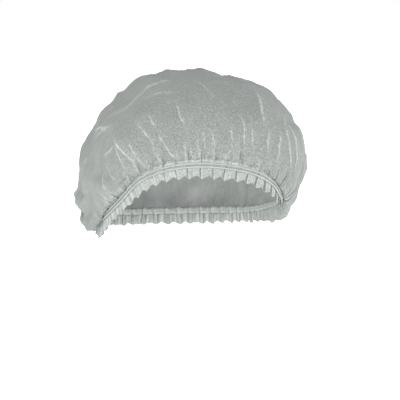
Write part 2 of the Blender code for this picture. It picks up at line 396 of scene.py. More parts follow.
def rim_radius(angle):
    """Radius of the band, a rounded oval with its own width on each side."""
    turn = np.radians(angle)
    across = np.abs(np.sin(turn)) / np.where(np.sin(turn) > 0, RIM_LEFT, RIM_RIGHT)
    along = np.abs(np.cos(turn)) / np.where(np.cos(turn) > 0, RIM_FRONT, RIM_BACK)
    return (across**RIM_ROUNDNESS + along**RIM_ROUNDNESS) ** (-1 / RIM_ROUNDNESS)


def at(angle, radius, height):
    """Points in millimetres at angles round the cap."""
    turn = np.radians(angle)
    height = height + 0 * turn
    return np.stack([radius * np.sin(turn), -radius * np.cos(turn), height], axis=-1)


def rim_point(angle, below, outward):
    """Points of the band's wall, below the band's middle along the sheet, square to the band."""
    step = 2.0
    rise = around("rim", angle + step) - around("rim", angle - step)
    run = math.radians(2 * step) * rim_radius(angle)
    length = np.hypot(rise, run)
    shift = np.degrees(below * rise / length / rim_radius(angle))
    height = around("rim", angle) - below * run / length
    return at(angle + shift, rim_radius(angle + shift) + outward, height)


def form_table():
    """The plain form as a table of points: one row for each angle, from the crown to its edge.

    Returns the points by share of the length, the lengths and each point's turn."""
    angles = np.arange(-180.0, 180.0, 1 / FORM_ROWS_PER_DEGREE)
    belly_radius, belly = around("belly_radius", angles), around("belly", angles)
    rim, radius = around("rim", angles), rim_radius(angles)
    tuck = around("tuck", angles)
    power = 2 / DOME_ROUNDNESS
    sections, turns = [], []
    for turn in np.concatenate([[0.0, 0.7], np.arange(2.0, 91.0, 1.0)]):
        wide = math.sin(math.radians(turn)) ** power
        high = max(0.0, math.cos(math.radians(turn))) ** power
        sections.append(at(angles, belly_radius * wide, belly + (CROWN_WALL - belly) * high))
        turns.append(turn)
    to_left = np.maximum(0.0, np.sin(np.radians(angles)))
    share = (LOW_SHARE + (LOW_SHARE_LEFT - LOW_SHARE) * to_left) * (0.2 + 0.8 * tuck)
    low_radius = radius + share * (belly_radius - radius)
    low = rim - around("droop", angles)
    for turn in range(6, 91, 6):
        turned = math.radians(turn)
        slender = max(0.0, math.cos(turned)) ** UNDER_SLENDER
        wide = low_radius + (belly_radius - low_radius) * slender
        sections.append(at(angles, wide, belly - (belly - low) * math.sin(turned)))
        turns.append(90 + turn / 2)
    end_radius = radius + FLAT_POCKET + (POCKET - FLAT_POCKET) * tuck
    end = rim + FLAT_END + (CREST - TUCKED_DIP) * tuck
    for turn in range(10, 81, 10):
        turned = math.radians(turn)
        wide = low_radius - (low_radius - end_radius) * math.sin(turned)
        sections.append(at(angles, wide, end - (end - low) * math.cos(turned)))
        turns.append(UNDERSIDE_TURN)
    crest = rim + FLAT_CREST + (CREST - FLAT_CREST) * tuck
    middle = radius + FLAT_POCKET / 2 + (POCKET / 2 - FLAT_POCKET / 2) * tuck
    sections.append(at(angles, middle, crest))
    turns.append(CREST_TURN)
    for below in (-BAND_TOP, -0.8, 0.5, CROWN_EDGE):
        sections.append(rim_point(angles, below, 0.0))
        turns.append(BAND_TURN)
    points = np.stack(sections, axis=1)
    steps = np.linalg.norm(np.diff(points, axis=1), axis=2)
    reach = np.concatenate([np.zeros((len(angles), 1)), np.cumsum(steps, axis=1)], axis=1)
    shares = np.linspace(0.0, 1.0, FORM_COLUMNS)
    table = np.empty((len(angles), len(shares), 3))
    turned = np.empty((len(angles), len(shares)))
    for row in range(len(angles)):
        length = reach[row, -1]
        for axis in range(3):
            table[row, :, axis] = np.interp(shares * length, reach[row], points[row, :, axis])
        turned[row] = np.interp(shares * length, reach[row], turns)
    for _ in range(FORM_SMOOTHINGS):
        table[:, 1:-1] = (table[:, :-2] + 2 * table[:, 1:-1] + table[:, 2:]) / 4
    return table, reach[:, -1], turned


def look_up(values, angle, share):
    """Values of a table at any angles and shares of the length, smoothly between its cells."""
    count_a, count_s = values.shape[:2]
    row = (np.asarray(angle) + 180.0) % 360.0 / 360.0 * count_a
    column = np.clip(share, 0.0, 1.0) * (count_s - 1)
    row_low = np.floor(row).astype(int) % count_a
    row_next = (row_low + 1) % count_a
    column_low = np.minimum(np.floor(column).astype(int), count_s - 2)
    down, side = row - np.floor(row), column - column_low
    if values.ndim == 3:
        down, side = down[..., None], side[..., None]
    first = values[row_low, column_low] * (1 - side) + values[row_low, column_low + 1] * side
    second = values[row_next, column_low] * (1 - side) + values[row_next, column_low + 1] * side
    return first * (1 - down) + second * down


def normals_of(table):
    """Outward directions of the form table."""
    across = np.roll(table, -2, axis=0) - np.roll(table, 2, axis=0)
    down = np.gradient(table, axis=1)
    normal = np.cross(down, across)
    normal[:, 0] = (0.0, 0.0, 1.0)
    normal /= np.linalg.norm(normal, axis=2, keepdims=True) + 1e-9
    return normal


def turn_between(angle, start):
    """Turn from one angle to another, the short way round."""
    return (angle - start + 180.0) % 360.0 - 180.0


def fold_height(angle, turn):
    """Height of the broad folds, in millimetres, as the solids have them."""
    reach = np.sin(np.radians(np.minimum(turn, 90.0)))
    total = np.zeros_like(angle)
    for fold in FOLDS:
        across = turn_between(angle, fold.angle_a) * FOLD_SCALE * reach
        along = (turn - fold.turn_a) * FOLD_SCALE
        axis_x = turn_between(fold.angle_b, fold.angle_a) * FOLD_SCALE * reach
        axis_y = (fold.turn_b - fold.turn_a) * FOLD_SCALE
        length = np.hypot(axis_x, axis_y)
        share = (across * axis_x + along * axis_y) / length**2
        aside = (across * axis_y - along * axis_x) / length
        beyond = np.maximum(0.0, np.abs(share - 0.5) - 0.5) * length
        total += fold.height * np.exp(-((aside**2 + beyond**2) / fold.half_width**2))
    return total


def smooth_step(low, high, value):
    """A soft step from 0 at low to 1 at high."""
    share = np.clip((value - low) / (high - low), 0.0, 1.0)
    return share * share * (3 - 2 * share)


def ridge(aside, width):
    """Cross section of a pressed crease: a steep side and a long flat one."""
    return np.where(aside > 0, np.exp(-aside / width), np.exp(aside / STEEP_SIDE))


def crease_height(angle, above, radius, path, height, width):
    """Height of one crease and how strongly its line shows, at each point. The sheet makes the
    line denser and paints it brighter as a highlight.
    """
    points = np.array(path, float)
    best = np.full(angle.shape, np.inf)
    side = np.zeros(angle.shape)
    run = np.zeros(angle.shape)
    scale = np.pi / 180 * radius
    span = len(points) - 1
    for part, ((a0, s0), (a1, s1)) in enumerate(zip(points, points[1:])):
        x, y = turn_between(angle, a0) * scale, above - s0
        dx, dy = (a1 - a0) * scale, s1 - s0
        length = np.hypot(dx, dy) + 1e-6
        share = np.clip((x * dx + y * dy) / length**2, 0.0, 1.0)
        away_x, away_y = x - share * dx, y - share * dy
        away = np.hypot(away_x, away_y)
        nearer = away < best
        best = np.where(nearer, away, best)
        side = np.where(nearer, np.sign(x * dy - y * dx), side)
        run = np.where(nearer, part + share, run)
    taper = np.clip(4 * run * (span - run) / span**2, 0.0, 1.0) ** 0.5
    broken = 0.84 + 0.16 * np.sin(above * 0.9 + angle * 2.3) * np.sin(above * 0.31 - angle)
    return height * taper * ridge(best * -side, width), taper * broken * (1 - best / LINE_REACH)


def added_creases(random):
    """Short creases above each pleat, then long and slanting ones over the left side and back."""
    found = []
    for angle in ring(PLEATS):
        reach = 9.0 + 26.0 * random.random_sample() ** 1.6
        drift = random.uniform(-2.6, 2.6)
        bend = random.uniform(-1.2, 1.2)
        path = [
            (angle, 0.5),
            (angle + drift * 0.4 + bend, 0.5 * reach),
            (angle + drift, reach),
        ]
        found.append(Crease(path, random.uniform(0.5, 1.1), 3.5))
    for angle in np.arange(56.0, 286.0, 7.5):
        start = random.uniform(2.0, 26.0)
        reach = random.uniform(22.0, 70.0)
        drift = random.uniform(-9.0, 9.0)
        centre = angle + random.uniform(-3.0, 3.0)
        path = [
            (centre, start),
            (centre + 0.5 * drift + random.uniform(-2, 2), start + 0.5 * reach),
            (centre + drift, start + reach),
        ]
        found.append(Crease(path, random.uniform(0.8, 1.9), random.uniform(3.5, 7.0)))
    for angle in np.arange(74.0, 262.0, 6.5):
        start = random.uniform(8.0, 120.0)
        reach = random.uniform(10.0, 42.0)
        drift = random.uniform(10.0, 26.0) * random.choice([-1.0, 1.0])
        path = [
            (angle, start),
            (angle + 0.45 * drift, start + random.uniform(0.3, 0.8) * reach),
            (angle + drift, start + reach),
        ]
        found.append(Crease(path, random.uniform(0.5, 1.1), random.uniform(4.0, 9.0)))
    return found


def pleat_place(share, column):
    """A column of the pleat's path at any shares of its cloth."""
    shares = [point.share for point in PLEAT_PATH]
    return np.interp(share, shares, [getattr(point, column) for point in PLEAT_PATH])


def noise_places(points, lumps):
    """Where points in millimetres lie in a noise."""
    offset = Vector((lumps.seed * 7.3, lumps.seed * 3.1, lumps.seed * 5.7))
    flat = points.reshape(-1, 3) / lumps.size * np.array(lumps.stretch)
    return (Vector(point) + offset for point in flat)


def soft_noise(points, lumps):
    """Smooth noise from -1 to 1 at points in millimetres."""
    values = np.array([noise.noise(place) for place in noise_places(points, lumps)])
    return values.reshape(points.shape[:-1])


def facet_gaps(points, lumps):
    """How far each point in millimetres lies from the border of its straight-sided patch."""
    near = (noise.voronoi(place)[0] for place in noise_places(points, lumps))
    values = np.array([distances[1] - distances[0] for distances in near])
    return values.reshape(points.shape[:-1])


Cloth = namedtuple("Cloth", "share angle up above base normal turn radius folded strength")


def crown_cloth(random):
    """The crown's sheet on the plain form, row by row from its edge to the top.

    Each point has its share of its pleat, angle, length up from the edge, height above the band,
    place, outward direction, turn and radius, how far its pleat is folded, and how deep."""
    table, lengths, turned = form_table()
    pleat, step = np.divmod(np.arange(PLEATS * CROWN_STEPS), CROWN_STEPS)
    share = step / CROWN_STEPS
    start = -180.0 + pleat * PITCH
    fade = (9.0 + 26.0 * random.random_sample(PLEATS) ** 1.4)[pleat]
    strength = (0.75 + 0.5 * random.random_sample(PLEATS))[pleat]

    row = np.arange(CROWN_ROWS + 1)[:, None]
    near = row / NEAR_ROWS * NEAR_REACH
    far_share = (row - NEAR_ROWS) / (CROWN_ROWS - NEAR_ROWS)

    def length_up(whole):
        return np.where(row <= NEAR_ROWS, near, NEAR_REACH + (whole - NEAR_REACH) * far_share)

    form_row = np.round((start + 180.0) * FORM_ROWS_PER_DEGREE).astype(int) % len(lengths)
    up = length_up(lengths[form_row][None, :])
    beyond = np.maximum(up - CROWN_EDGE - BAND_TOP - 1.0, 0.0)
    folded = np.clip(1 - beyond / fade[None, :], 0.0, 1.0)
    across = share[None, :] * (1 - folded) + pleat_place(share, "across")[None, :] * folded
    angle = start[None, :] + across * PITCH
    whole = look_up(lengths[:, None].repeat(2, 1), angle, np.zeros_like(angle))
    up = length_up(whole)
    along = 1 - up / whole
    base = look_up(table, angle, along)
    return Cloth(
        share=share,
        angle=angle,
        up=up,
        above=up - CROWN_EDGE - BAND_TOP,
        base=base,
        normal=look_up(normals_of(table), angle, along),
        turn=look_up(turned, angle, along),
        radius=np.hypot(base[..., 0], base[..., 1]),
        folded=folded,
        strength=strength,
    )


def puffed(cloth):
    """How far the sheet stands off in a puff, which is all but the front."""
    return smooth_step(40.0, 80.0, np.abs(turn_between(cloth.angle, -5.0)))


def calm_top(cloth):
    """Fades all relief out where the rows meet."""
    return smooth_step(0.0, 16.0, cloth.radius)


def loose_side(cloth):
    """How near each point is to the side that is only softly gathered."""
    return np.exp(-(((cloth.angle - LOOSE_SIDE) / LOOSE_WIDTH) ** 2))


def creased(cloth, random, size):
    """Height of the broad folds and creases, how far the cloth is doubled, with a painted
    highlight on the crease ridges, and crease lines.
    """
    swell = fold_height(cloth.angle, cloth.turn) * smooth_step(137.0, 124.0, cloth.turn)
    doubled = 0.5 * cloth.folded * (pleat_place(cloth.share, "across") > 1.0)[None, :]
    lines = np.zeros_like(cloth.radius)
    added = added_creases(random)
    for crease in CREASES + added:
        high, line = crease_height(cloth.angle, cloth.above, cloth.radius, *crease)
        faint = 0.14 * (crease in added)
        wide = 0.22 * (crease.width > 5.5)
        swell += size * high
        # Painted highlight: the sheet is lightened along each crease's ridge, as well as made
        # denser.
        doubled = doubled + 0.12 * high
        lines = np.maximum(lines, line * min(0.9, 0.5 + 0.28 * crease.height - faint - wide))
    calm = calm_top(cloth)
    swell *= smooth_step(0.0, 3.0, cloth.above + 1.0) * calm
    return swell, doubled * calm, lines * calm


def gather_height(cloth):
    """Long soft gathers that run up from the band, mostly in the puff."""
    turned = np.radians(cloth.angle)
    rolled = [90 * np.sin(turned), 90 * np.cos(turned), 0.3 * cloth.up]
    drawn = np.abs(soft_noise(np.stack(rolled, axis=-1), GATHERS))
    zone = smooth_step(6.0, 26.0, cloth.above) * smooth_step(110.0, 60.0, cloth.above)
    return zone * (0.2 + 0.8 * puffed(cloth)) * 3.2 * (0.18 - np.hypot(drawn, 0.05))


def facet_relief(cloth):
    """Height and crease lines of flat patches that meet in low ridges. The lines are painted
    brighter on the sheet, as a highlight along the ridges.
    """
    gaps = facet_gaps(cloth.base, FACETS)
    shown = smooth_step(-0.12, 0.3, soft_noise(cloth.base, FACETS_SHOWN))
    shown *= smooth_step(10.0, 26.0, cloth.above) * (0.15 + 0.85 * puffed(cloth)) * calm_top(cloth)
    return 2.6 * shown * (np.exp(-gaps / 0.18) - 0.35), shown * (0.5 - gaps / 0.13)


def ridge_lift(cloth):
    """How far the long ridges over the crown's top lift the sheet."""
    lift = np.zeros_like(cloth.radius)
    for long_ridge in RIDGES:
        aside = (cloth.base[..., 0] - long_ridge.place) / long_ridge.half_width
        lift += long_ridge.height * np.exp(-(aside**2))
    near_middle = np.exp(-((cloth.base[..., 1] / RIDGE_REACH) ** 2))
    return lift * (near_middle * smooth_step(60.0, 25.0, cloth.turn))


def lump_height(cloth):
    """Soft lumps and crumple of the open cloth."""
    long_lumps = soft_noise(cloth.base, LONG_LUMPS)
    middle = soft_noise(cloth.base, MIDDLE_LUMPS)
    crumple = np.abs(soft_noise(cloth.base, CRUMPLED))
    small = soft_noise(cloth.base, SMALL_LUMPS)
    loose = 0.5 + 0.5 * puffed(cloth)
    return smooth_step(2.0, 26.0, cloth.above) * calm_top(cloth) * (
        1.6 * long_lumps + loose * (1.5 * middle + 2.8 * (0.1 - crumple)) + 0.22 * small - 0.3
    )


def rib_height(cloth):
    """Fine ribs that the elastic draws into the sheet just above the band."""
    places = np.stack([cloth.angle * 1.75, 0.12 * cloth.up, 0 * cloth.up], axis=-1)
    zone = smooth_step(0.5, 4.0, cloth.above) * smooth_step(34.0, 6.0, cloth.above)
    close = 0.4 + 0.6 * smooth_step(16.0, 3.0, cloth.above)
    return zone * close * (1 - 0.6 * loose_side(cloth)) * soft_noise(places, RIBS)


def crown_points(settings):
    """Points of the crown's sheet, how far it is doubled with painted light added, its crease
    lines and its flow.
    """
    random = np.random.RandomState(SEED)
    cloth = crown_cloth(random)
    held = smooth_step(3.5, -1.0, cloth.above)
    side = loose_side(cloth)
    swell, doubled, lines = creased(cloth, random, settings.crease_height / MM)
    facets, facet_lines = facet_relief(cloth)
    lines = np.maximum(lines, facet_lines)
    # Painted light: the sheet is lightened at the band and just above it, and low over the band at
    # the loose side, where it lies in shade.
    doubled = doubled + 1.2 * held + 0.8 * side * smooth_step(12.0, 3.0, cloth.above)
    depth = pleat_place(cloth.share, "depth")[None, :] * cloth.strength[None, :] * cloth.folded
    depth *= 1 - 0.75 * side
    depth *= 1 - 0.72 * held
    swell += gather_height(cloth)
    swell += facets
    swell += lump_height(cloth)
    swell += rib_height(cloth)
    swell += depth * settings.pleat_depth / MM
    placed = cloth.base + cloth.normal * swell[..., None]
    placed[..., 2] += ridge_lift(cloth)
    return placed * MM, np.clip(doubled, 0.0, 1.5), lines, flow_of(cloth.angle, cloth.above)


def flow_of(angle, above):
    """Place round the cap and above the band, for the materials, without a seam."""
    turned = np.radians(angle)
    return np.stack([np.sin(turned), np.cos(turned), above / 100.0 + 0 * angle], axis=-1)


def closed_draws(random, low, high):
    """A random number for each pleat, and the first again for where they meet."""
    draws = random.uniform(low, high, PLEATS + 1)
    draws[-1] = draws[0]
    return draws


def frill_points(settings):
    """Points of the pleated margin, row by row from under the elastic to its free edge, with
    painted highlights on the pleats' crests and painted shade along their fold lines.
    """
    random = np.random.RandomState(SEED + 1)
    pleat, step = np.divmod(np.arange(PLEATS * FRILL_STEPS), FRILL_STEPS)
    share = step / FRILL_STEPS
    start = -180.0 + pleat * PITCH
    lean = closed_draws(random, -0.10, 0.10)
    reach = closed_draws(random, -0.7, 0.5)
    depth_part = random.uniform(0.7, 1.35, PLEATS)[pleat]

    down = (np.arange(FRILL_ROWS + 1) / FRILL_ROWS)[:, None]
    across = pleat_place(share, "across")
    ahead = np.clip(across, 0.0, 1.0)
    own_lean = lean[pleat] * (1 - ahead) + lean[pleat + 1] * ahead
    own_reach = reach[pleat] * (1 - ahead) + reach[pleat + 1] * ahead
    from_corner = turn_between(start + across * PITCH, CORNER.angle) / CORNER.width
    corner = np.exp(-(from_corner**2))
    teeth = (own_reach - pleat_place(share, "edge")) * (1 - 0.65 * corner)
    edge = FRILL_TIP + CORNER.drop * corner + teeth
    below = FRILL_TOP + (edge[None, :] - FRILL_TOP) * down
    angle = start[None, :] + (across[None, :] + own_lean[None, :] * down) * PITCH
    depth = pleat_place(share, "depth") * depth_part * (1 - 0.4 * corner)
    opened = settings.pleat_depth / MM * (1.0 + 1.7 * down**1.3)
    at_side = smooth_step(28.0, 62.0, np.abs(start))[None, :]
    fine = at_side * np.cos(2 * np.pi * (2.0 * across + depth_part))[None, :]
    outward = -0.12 + depth[None, :] * opened + settings.frill_flare / MM * down**1.6
    outward = outward + 0.28 * fine * (0.4 + 0.6 * down)
    points = rim_point(angle, below, outward)
    soft = soft_noise(points, MARGIN_WAVES) * 0.5 + soft_noise(points, MARGIN_CURLS) * 0.16
    one_out = rim_point(angle, below, outward + 1.0) - points
    points = points + one_out * (soft * down)[..., None]
    # Painted highlights on each pleat's crests, a painted shadow in a thin line just before the
    # next pleat's fold, and painted light and shade on the fine pleats at the sides.
    painted_crest_highlight = 0.9 * np.exp(-((share / 0.06) ** 2)) + 0.5 * np.exp(-(((1 - share) / 0.08) ** 2))
    shade = 1.7 * np.exp(-(((across - 0.965) / 0.05) ** 2))
    doubled = 0.7 + painted_crest_highlight[None, :] - shade[None, :] * (1 - 0.55 * down) + 0.4 * fine
    return points * MM, doubled, 0 * angle, flow_of(angle, -below)


# Meshes


def rolled_sheet(name, points, doubled, lines, flow, close_top):
    """A grid that is rolled into a ring, joined along its seam, and closed at the top if asked.

    The layering values say where the cloth lies double and also hold painted highlights and
    painted shade, lines how near a crease is, from 0 to 1 at its line, where the sheet is painted
    brighter, and flow is the place round the cap and above the band."""
    rows, columns = points.shape[0] - 1, points.shape[1]
    if close_top:
        points[-1] = points[-1].mean(axis=0)
    bm = bmesh.new()
    bmesh.ops.create_grid(bm, x_segments=columns, y_segments=rows, size=1.0)
    # Layering values: real doubled cloth, together with painted highlights and painted shade.
    layers_and_painted_light_layer = bm.verts.layers.float.new("doubled")
    line_layer = bm.verts.layers.float.new("crease")
    flow_layer = bm.verts.layers.float_vector.new("flow")
    for vert in bm.verts:
        column = round((vert.co.x + 1) / 2 * columns) % columns
        row = round((vert.co.y + 1) / 2 * rows)
        vert.co = points[row, column]
        vert[layers_and_painted_light_layer] = doubled[row, column]
        vert[line_layer] = lines[row, column]
        vert[flow_layer] = flow[row, column]
    bmesh.ops.remove_doubles(bm, verts=bm.verts, dist=2e-6)
    bmesh.ops.recalc_face_normals(bm, faces=bm.faces)
    if sum(face.normal.dot(face.calc_center_median()) for face in bm.faces) < 0:
        bmesh.ops.reverse_faces(bm, faces=bm.faces)
    for face in bm.faces:
        face.smooth = True
    mesh = bpy.data.meshes.new(name)
    bm.to_mesh(mesh)
    bm.free()
    return placed_piece(name, mesh)


def placed_piece(name, mesh):
    """A mesh put into the scene as an object."""
    piece = bpy.data.objects.new(name, mesh)
    bpy.context.scene.collection.objects.link(piece)
    return piece


def thread(name, points, radius, resolution=2):
    """A round closed thread through points in millimetres, made a mesh."""
    curve = bpy.data.curves.new(name, "CURVE")
    curve.dimensions = "3D"
    curve.bevel_depth = radius * MM
    curve.bevel_resolution = resolution
    spline = curve.splines.new("POLY")
    spline.points.add(len(points) - 1)
    spline.use_cyclic_u = True
    for knot, point in zip(spline.points, points):
        knot.co = (*(np.array(point) * MM), 1.0)
    holder = bpy.data.objects.new(name + "_path", curve)
    bpy.context.scene.collection.objects.link(holder)
    mesh = bpy.data.meshes.new_from_object(holder)
    mesh.name = name
    bpy.data.objects.remove(holder, do_unlink=True)
    bpy.data.curves.remove(curve)
    mesh.polygons.foreach_set("use_smooth", [True] * len(mesh.polygons))
    return placed_piece(name, mesh)


# Materials


# Features to a metre, or to a unit of flow for the ribs and streaks.
CLUMP_SCALE = 900.0
FIBRE_SCALE = 2100.0
CLOUD_SCALE = 60.0
PATCH_SCALE = 140.0
RIB_SCALE = 62.0
STREAK_SCALE = 17.0
WINDING_SCALE = 780.0

# Share of the light that falls on the sheet and comes through it.
THROUGH_SHARE = 0.24


class Value:
    """A number in a material. Sums on it are written as plain Python and add its Math nodes."""

    def __init__(self, maker, socket):
        self.maker = maker
        self.socket = socket

    def join(self, operation, first, second):
        node = self.maker.add("ShaderNodeMath", {"operation": operation}, {0: first, 1: second})
        return Value(self.maker, node.outputs[0])

    def __add__(self, other):
        return self.join("ADD", self, other)

    def __sub__(self, other):
        return self.join("SUBTRACT", self, other)

    def __rsub__(self, other):
        return self.join("SUBTRACT", other, self)

    def __mul__(self, other):
        return self.join("MULTIPLY", self, other)

    def __pow__(self, other):
        return self.join("POWER", self, other)

    __radd__ = __add__
    __rmul__ = __mul__

    def size(self):
        return self.join("ABSOLUTE", self, 0.0)

    def limited(self, low, high):
        return self.join("MINIMUM", self.join("MAXIMUM", self, low), high)


class Finish:
    """A material that is built node by node."""

    def __init__(self, name):
        self.material = bpy.data.materials.new(name)
        self.material.use_nodes = True
        self.tree = self.material.node_tree
        self.tree.nodes.clear()
        self.output = self.add("ShaderNodeOutputMaterial")

    def add(self, kind, settings=None, sockets=None):
        """A node with its settings, and its sockets set to numbers or joined to other nodes."""
        node = self.tree.nodes.new(kind)
        for key, value in (settings or {}).items():
            setattr(node, key, value)
        for key, value in (sockets or {}).items():
            socket = node.inputs[key]
            if isinstance(value, Value):
                self.tree.links.new(value.socket, socket)
            elif isinstance(value, bpy.types.NodeSocket):
                self.tree.links.new(value, socket)
            else:
                socket.default_value = value
        return node

    def number(self, kind, settings=None, sockets=None, output=0):
        return Value(self, self.add(kind, settings, sockets).outputs[output])

    def places(self):
        """The object's own coordinates."""
        return self.add("ShaderNodeTexCoord").outputs["Object"]

    def noise(self, places, scale, detail=2.0, roughness=0.5, distortion=0.0):
        sockets = {
            "Vector": places,
            "Scale": scale,
            "Detail": detail,
            "Roughness": roughness,
            "Distortion": distortion,
        }
        return self.number("ShaderNodeTexNoise", {}, sockets)

    def attribute(self, name, output):
        """A value that the mesh holds at its points."""
        settings = {"attribute_type": "GEOMETRY", "attribute_name": name}
        return self.add("ShaderNodeAttribute", settings).outputs[output]

    def mixed(self, factor, first, second):
        """A colour between two, by the sockets of the Mix node that are for colours."""
        sockets = {0: factor, 6: first, 7: second}
        return self.add("ShaderNodeMix", {"data_type": "RGBA"}, sockets).outputs[2]

    def cloth(self, sockets, relief):
        """A plain shader with a Bump node on its normal."""
        bump = self.add("ShaderNodeBump", {}, relief).outputs[0]
        return self.add("ShaderNodeBsdfPrincipled", {}, {**sockets, "Normal": bump}).outputs[0]

    def end(self, shader):
        self.tree.links.new(shader, self.output.inputs["Surface"])
        return self.material


def shaded(colour, factor):
    """A colour made darker or lighter, with full alpha."""
    return tuple(min(1.0, factor * part) for part in colour) + (1.0,)


def nonwoven(name, colour, coverage):
    """Thin spunbond sheet: matted fibres that let some light through between them.

    It stops more light where it is doubled or creased, and less at the front, where it is
    stretched thin. Its colour is mixed between a shaded and a lit copy of the sheet's colour: it
    is painted lighter where doubled or creased, with painted highlights on crests, creases and the
    band and painted shade in the frill's fold lines. Near the band it shows the gathers as fine
    ribs, as bumps and as painted light and shade."""
    make = Finish(name)
    places = make.places()
    clumps = make.noise(places, CLUMP_SCALE, 2.0, 0.6)
    fibres = make.noise(places, FIBRE_SCALE, 3.0, 0.65, 0.6)
    clouds = make.noise(places, CLOUD_SCALE, 2.0, 0.5)
    # Layering values: real doubled cloth, which stops more light, and painted highlights and
    # painted shade.
    doubled = Value(make, make.attribute("doubled", "Fac"))
    crease = Value(make, make.attribute("crease", "Fac"))
    flow = make.attribute("flow", "Vector")
    height = make.number("ShaderNodeSeparateXYZ", {}, {0: flow}, 2)
    drawn_out = make.add(
        "ShaderNodeVectorMath", {"operation": "MULTIPLY"}, {0: flow, 1: (1.0, 1.0, 0.35)}
    ).outputs[0]
    ribs = make.noise(drawn_out, RIB_SCALE, 2.0, 0.6)
    streaks = make.noise(drawn_out, STREAK_SCALE, 3.0, 0.6, 0.4)
    near_band = (1.0 - height.size() * 3.2).limited(0.0, 1.0) ** 2.0
    at_band = (1.0 - height * 8.0).limited(0.0, 1.0) * (height * 50.0 + 1.0).limited(0.0, 1.0)
    lines = (1.0 - (streaks - 0.5).size() * 9.0).limited(0.0, 1.0)
    patches = make.noise(places, PATCH_SCALE, 2.0, 0.6)
    # Crease lines: denser cloth, and a painted highlight that lightens the colour along them.
    pressed_crease_and_highlight = ((crease - 0.32) * 2.4).limited(0.0, 1.0) ** 1.3
    pressed_crease_and_highlight = pressed_crease_and_highlight * (patches * 1.8 - 0.12).limited(0.5, 1.0)
    speckle = (clumps - 0.5) * 1.1 + (fibres - 0.5) * 0.8
    ahead = make.number("ShaderNodeSeparateXYZ", {}, {0: places}, 1) * -1.0
    stretched_thin = ((ahead - 0.03) * 18.0).limited(0.0, 1.0)
    uneven = speckle * (stretched_thin * 0.65 + 0.1) + (clouds - 0.5) * 0.16
    cover = coverage + uneven + doubled * 0.2 + pressed_crease_and_highlight * 0.25 - stretched_thin * 0.24
    cover = cover.limited(0.25, 0.985)
    # Painted light and shade: lighter where the layering values and crease lines are high, which
    # hold painted highlights and shade, with random clumps and streaks varying the tone.
    light = doubled * 0.5 + (clumps - 0.5) * 0.3 + lines * 0.03 + pressed_crease_and_highlight * 0.74 + 0.19
    light = light + stretched_thin * ((clumps - 0.5) * 0.7 + (fibres - 0.5) * 0.5 - 0.06)
    # Painted light and shade of the fine ribs near the band, as light and dark stripes.
    light = light + near_band * (ribs - 0.42) * 0.9 + at_band * (ribs - 0.45) * 1.5
    # The colour is mixed between a painted shaded copy and a painted lit copy of the sheet colour.
    tone = make.mixed(light.limited(0.0, 1.0), shaded(colour, 0.70), shaded(colour, 2.25))
    relief = clumps * 0.12 + fibres * 0.06 + ribs * near_band * 1.1 + lines * 0.12
    relief = relief + pressed_crease_and_highlight * 0.5
    cloth = make.cloth(
        {
            "Base Color": tone,
            "Roughness": 0.72,
            "Specular IOR Level": 0.25,
            "Sheen Weight": 0.1,
            "Sheen Roughness": 0.5,
        },
        {"Strength": 0.6, "Distance": 0.0011, "Height": relief},
    )
    through = make.add("ShaderNodeBsdfTranslucent", {}, {"Color": shaded(colour, 1.1)}).outputs[0]
    clear = make.add("ShaderNodeBsdfTransparent").outputs[0]
    body = make.add("ShaderNodeMixShader", {}, {0: THROUGH_SHARE, 1: cloth, 2: through}).outputs[0]
    return make.end(make.add("ShaderNodeMixShader", {}, {0: cover, 1: clear, 2: body}).outputs[0])


def covered_elastic(name, colour, groove):
    """Elastic wound with fine thread."""
    make = Finish(name)
    places = make.places()
    wound = make.noise(places, WINDING_SCALE, 2.0, 0.6)
    broad = make.noise(places, 120.0, 1.0, 0.5)
    shade = (wound * 0.7 + broad * 0.3).limited(0.0, 1.0)
    tone = make.mixed(shade, shaded(colour, 0.55), shaded(colour, 1.4))
    cloth = make.cloth(
        {"Base Color": tone, "Roughness": 0.6, "Specular IOR Level": 0.3},
        {"Strength": groove, "Distance": 0.0003, "Height": wound},
    )
    return make.end(cloth)


def studio_floor():
    """Pale matt floor that glows a little, so that it shows white."""
    make = Finish("Pale floor")
    grain = make.noise(make.places(), 3.0, 1.0)
    tone = make.mixed(grain, (0.90, 0.90, 0.90, 1.0), (0.93, 0.93, 0.93, 1.0))
    sockets = {
        "Base Color": tone,
        "Roughness": 0.9,
        "Specular IOR Level": 0.1,
        "Emission Color": (1.0, 1.0, 1.0, 1.0),
        "Emission Strength": 1.15,
    }
    return make.end(make.add("ShaderNodeBsdfPrincipled", {}, sockets).outputs[0])


# Stage


def lay_floor(scene, height):
    """A wide flat floor under the cap."""
    bm = bmesh.new()
    bmesh.ops.create_grid(bm, x_segments=1, y_segments=1, size=FLOOR_SIZE)
    bmesh.ops.translate(bm, verts=bm.verts, vec=(0.0, 0.0, height))
    mesh = bpy.data.meshes.new("floor")
    bm.to_mesh(mesh)
    bm.free()
    floor = bpy.data.objects.new("floor", mesh)
    floor.data.materials.append(studio_floor())
    scene.collection.objects.link(floor)


